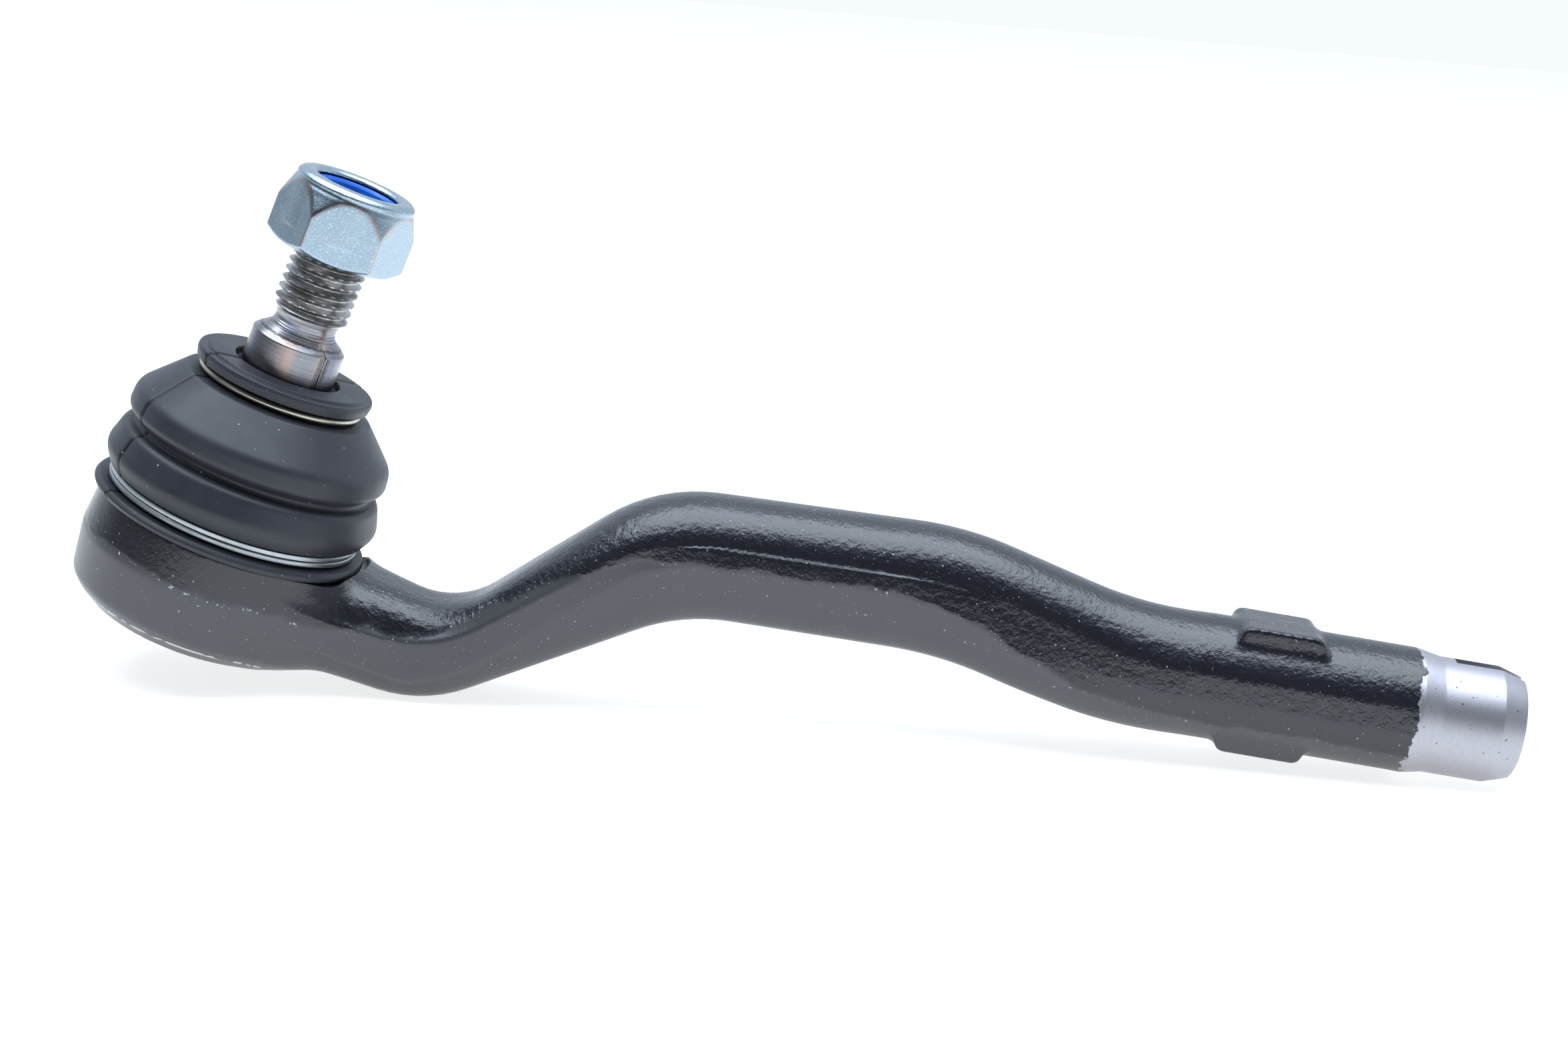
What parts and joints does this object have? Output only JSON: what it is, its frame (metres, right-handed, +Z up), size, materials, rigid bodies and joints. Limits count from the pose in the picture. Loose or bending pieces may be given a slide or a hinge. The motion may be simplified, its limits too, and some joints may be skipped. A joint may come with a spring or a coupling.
{
  "type": "tie rod end",
  "caption": "Outer tie rod end: forged cranked housing with a threaded sleeve, and a ball stud with a rubber boot and a nylon lock nut.",
  "frame": {"origin": "on the table, under the middle of the part's box, with the part lying on the bend of its arm and on the end of its sleeve", "axes": "+Z up from the table, +X along the part from the socket to the sleeve, Y across it; the stud leans 18.8 degrees from +Z towards +X"},
  "size_m": [0.2284, 0.0448, 0.0817],
  "materials": {
    "housing_paint": "black semi-gloss stove paint over forged steel, orange peel on the upper half",
    "cover_steel": "black painted pressed steel",
    "spring_steel": "bright spring steel",
    "seat_plastic": "natural acetal, smooth",
    "stud_steel": "turned and rolled steel, fine lathe lines, oily",
    "boot_rubber": "moulded black rubber, satin, fine dust specks",
    "ring_steel": "zinc plated flat spring wire",
    "wire_steel": "bright spring wire, faintly yellow",
    "nut_zinc": "blue-white zinc plating, fine sparkle",
    "insert_nylon": "blue nylon, satin"
  },
  "bodies": {
    "housing": {"housing": "housing_paint", "cover_plate": "cover_steel", "preload_spring": "spring_steel", "lower_ball_seat": "seat_plastic", "upper_ball_seat": "seat_plastic", "boot_lower_ring": "ring_steel"},
    "boot": {"dust_boot": "boot_rubber"},
    "collar": {"boot_upper_ring": "wire_steel"},
    "stud": {"ball_stud": "stud_steel"},
    "insert": {"nylon_insert": "insert_nylon"},
    "nut": {"lock_nut": "nut_zinc"}
  },
  "joints": [
    {"name": "stud_swing", "type": "hinge", "parent": "housing", "child": "boot", "pos_m": [-0.09209, 0, 0.01946], "axis": [0.3223, 0, 0.9466], "continuous": true},
    {"name": "stud_tilt", "type": "hinge", "parent": "boot", "child": "collar", "pos_m": [-0.09209, 0, 0.01946], "axis": [0, 1, 0], "range_deg": [-22, 22], "deforming": ["dust_boot"]},
    {"name": "stud_spin", "type": "hinge", "parent": "collar", "child": "stud", "pos_m": [-0.09209, 0, 0.01946], "axis": [0.3223, 0, 0.9466], "continuous": true},
    {"name": "nut_travel", "type": "slide", "parent": "stud", "child": "insert", "axis": [0.3223, 0, 0.9466], "range_m": [-0.00825, 0.006]},
    {"name": "nut_turn", "type": "hinge", "parent": "insert", "child": "nut", "pos_m": [-0.09209, 0, 0.01946], "axis": [0.3223, 0, 0.9466], "range_deg": [-1980, 1440]}
  ],
  "couplings": [
    {"joint": "nut_turn", "follows": "nut_travel", "rad_per_m": 4188.8}
  ]
}
